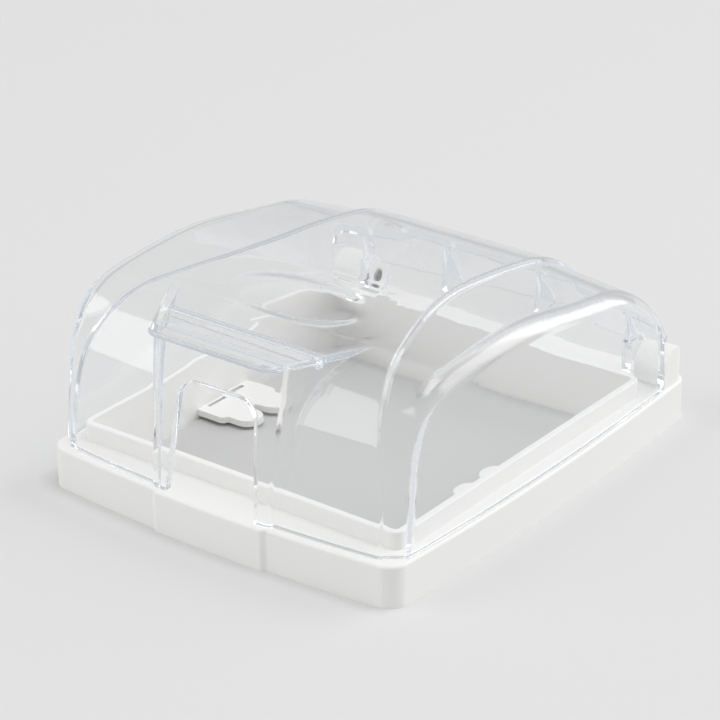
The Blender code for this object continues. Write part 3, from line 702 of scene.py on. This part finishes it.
def white_plastic():
    """Satin moulded plastic: fine moulding grain, uneven gloss and a trace of warm colour variation."""
    made, nodes, links, output = new_material("satin white")
    shader = nodes.new("ShaderNodeBsdfPrincipled")
    shader.inputs["IOR"].default_value = WHITE_IOR
    place = nodes.new("ShaderNodeTexCoord").outputs["Object"]
    tone = nodes.new("ShaderNodeMix")
    tone.data_type = "RGBA"
    tone.inputs["A"].default_value = WHITE_DARKER
    tone.inputs["B"].default_value = WHITE_PALER
    links.new(noise(nodes, links, place, WHITE_CLOUDS), tone.inputs["Factor"])
    links.new(tone.outputs["Result"], shader.inputs["Base Color"])
    gloss = ranged(nodes, links, noise(nodes, links, place, WHITE_GLOSS), *WHITE_ROUGHNESS)
    links.new(gloss, shader.inputs["Roughness"])
    grain = bump(nodes, links, noise(nodes, links, place, GRAIN), GRAIN_STRENGTH, GRAIN_DEPTH)
    links.new(grain.outputs["Normal"], shader.inputs["Normal"])
    links.new(shader.outputs["BSDF"], output.inputs["Surface"])
    return made


def clear_skin(nodes, links):
    """Shader of the clear plastic's surface: uneven polish, softened edges and faint waves."""
    shader = nodes.new("ShaderNodeBsdfPrincipled")
    shader.inputs["Base Color"].default_value = (1, 1, 1, 1)
    shader.inputs["IOR"].default_value = CLEAR_IOR
    shader.inputs["Transmission Weight"].default_value = 1.0
    place = nodes.new("ShaderNodeTexCoord").outputs["Object"]
    gloss = ranged(nodes, links, noise(nodes, links, place, CLEAR_GLOSS), *CLEAR_ROUGHNESS)
    links.new(gloss, shader.inputs["Roughness"])
    edges = nodes.new("ShaderNodeBevel")
    edges.samples = SOFT_EDGE_SAMPLES
    edges.inputs["Radius"].default_value = SOFT_EDGE_RADIUS
    waves = bump(nodes, links, noise(nodes, links, place, WAVES), WAVE_STRENGTH, WAVE_DEPTH)
    links.new(edges.outputs["Normal"], waves.inputs["Normal"])
    links.new(waves.outputs["Normal"], shader.inputs["Normal"])
    return shader.outputs["BSDF"]


def clear_plastic():
    """Clear moulded plastic with a cold tint that shows where it is thick.

    Rays that were trapped in it for many turns leave it straight, with a tint. Shadow rays and diffuse
    rays pass it straight, so what is inside it is lit, and it casts hardly a shadow.
    """
    made, nodes, links, output = new_material("clear moulding")
    path = nodes.new("ShaderNodeLightPath")
    turns = calculated(nodes, links, "ADD", path.outputs["Ray Depth"], path.outputs["Glossy Depth"])
    trapped = nodes.new("ShaderNodeMath")
    trapped.operation = "GREATER_THAN"
    trapped.inputs[1].default_value = TRAPPED_TURNS
    links.new(turns, trapped.inputs[0])
    skin = clear_skin(nodes, links)
    inner = mixed(nodes, links, trapped.outputs[0], skin, see_through(nodes, TRAPPED_TINT))
    passing = calculated(nodes, links, "MAXIMUM",
                         path.outputs["Is Shadow Ray"], path.outputs["Is Diffuse Ray"])
    surface = mixed(nodes, links, passing, inner, see_through(nodes, PASSING_TINT))
    links.new(surface, output.inputs["Surface"])
    absorption = nodes.new("ShaderNodeVolumeAbsorption")
    absorption.inputs["Color"].default_value = DEPTH_COLOUR
    absorption.inputs["Density"].default_value = DEPTH_DENSITY
    links.new(absorption.outputs["Volume"], output.inputs["Volume"])
    return made


def sheet(name, size, place, level):
    """Flat matt sheet of one plain grey, which isn't part of the cover."""
    x, y = size[0] / 2, size[1] / 2
    mesh = bpy.data.meshes.new(name)
    mesh.from_pydata([(-x, -y, 0), (x, -y, 0), (x, y, 0), (-x, y, 0)], [], [(0, 1, 2, 3)])
    obj = bpy.data.objects.new(name, mesh)
    obj.location = place
    bpy.context.scene.collection.objects.link(obj)
    made, nodes, links, output = new_material(name)
    shader = nodes.new("ShaderNodeBsdfPrincipled")
    shader.inputs["Base Color"].default_value = (level, level, level, 1)
    shader.inputs["Roughness"].default_value = SHEET_ROUGHNESS
    shader.inputs["Specular IOR Level"].default_value = 0.0
    links.new(shader.outputs["BSDF"], output.inputs["Surface"])
    obj.data.materials.append(made)


def stage():
    """Pale floor that runs far out of view, and a greyer sheet inside the opening: partly painted shade
    under the lid, partly the greyer floor that shows there.
    """
    sheet("floor", (FLOOR_SIZE, FLOOR_SIZE), (0, 0, 0), FLOOR_LEVEL)
    x = COLLAR_WIDTH - 2 * COLLAR_WALL - 2 * CLEARANCE
    y = COLLAR_LENGTH - 2 * COLLAR_WALL - 2 * CLEARANCE
    # The sheet inside the opening is partly painted shade: it darkens the floor under the lid, and partly
    # stands for a greyer floor there
    sheet("wall", (x, y), (0, COLLAR_Y, SHEET_LIFT), INSIDE_SHADE_LEVEL)


def area_lamp(name, place, target, size, power):
    """Soft square lamp that faces the target."""
    data = bpy.data.lights.new(name, "AREA")
    data.shape = "SQUARE"
    data.size = size
    data.energy = power
    obj = bpy.data.objects.new(name, data)
    obj.location = place
    obj.rotation_euler = (Vector(target) - Vector(place)).to_track_quat("-Z", "Y").to_euler()
    bpy.context.scene.collection.objects.link(obj)


def surround():
    """World that sheds one even light, and looks a little paler than that where it is seen or mirrored."""
    world = bpy.data.worlds.new("studio")
    world.use_nodes = True
    bpy.context.scene.world = world
    nodes, links = world.node_tree.nodes, world.node_tree.links
    path = nodes.new("ShaderNodeLightPath")
    seen = path.outputs["Is Camera Ray"]
    for kind in ("Is Glossy Ray", "Is Transmission Ray"):
        seen = calculated(nodes, links, "MAXIMUM", seen, path.outputs[kind])
    background = nodes["Background"]
    background.inputs["Color"].default_value = (1, 1, 1, 1)
    links.new(ranged(nodes, links, seen, SURROUND_LIGHT, SURROUND_LOOK), background.inputs["Strength"])


def lights():
    """Surround with a soft box at the front left, one at the rear right and a smaller one overhead."""
    surround()
    for name, (place, target, size, power) in LAMPS.items():
        area_lamp(name, place, target, size, power)


def camera():
    """Camera at the photograph's viewing angle."""
    back = Vector((math.sin(CAMERA_AZIMUTH) * math.cos(CAMERA_ELEVATION),
                   -math.cos(CAMERA_AZIMUTH) * math.cos(CAMERA_ELEVATION), math.sin(CAMERA_ELEVATION)))
    right = Vector((math.cos(CAMERA_AZIMUTH), math.sin(CAMERA_AZIMUTH), 0))
    up = back.cross(right)
    turned = right * math.cos(CAMERA_ROLL) + up * math.sin(CAMERA_ROLL)
    raised = up * math.cos(CAMERA_ROLL) - right * math.sin(CAMERA_ROLL)
    data = bpy.data.cameras.new("camera")
    data.lens = CAMERA_LENS
    data.sensor_width = CAMERA_SENSOR
    obj = bpy.data.objects.new("camera", data)
    frame = Matrix((turned, raised, back)).transposed().to_4x4()
    frame.translation = CAMERA_TARGET + back * CAMERA_DISTANCE
    obj.matrix_world = frame
    bpy.context.scene.collection.objects.link(obj)
    bpy.context.scene.camera = obj


def dress_lid():
    """Finely divided clear lid that takes the place of the frame's lid."""
    lid = clear_lid()
    lid.name = "moulded_lid"
    lid.data.shade_smooth()
    lid.data.set_sharp_from_angle(angle=SHARP_ANGLE)
    lid.data.materials.clear()
    lid.data.materials.append(clear_plastic())
    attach(lid, "lid")
    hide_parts("clear_lid")


def main():
    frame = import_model()
    base = frame["nodes"]["base_frame"]
    base.data.materials.clear()
    base.data.materials.append(white_plastic())
    dress_lid()
    stage()
    lights()
    camera()
    bpy.context.scene.view_settings.view_transform = "Standard"


main()
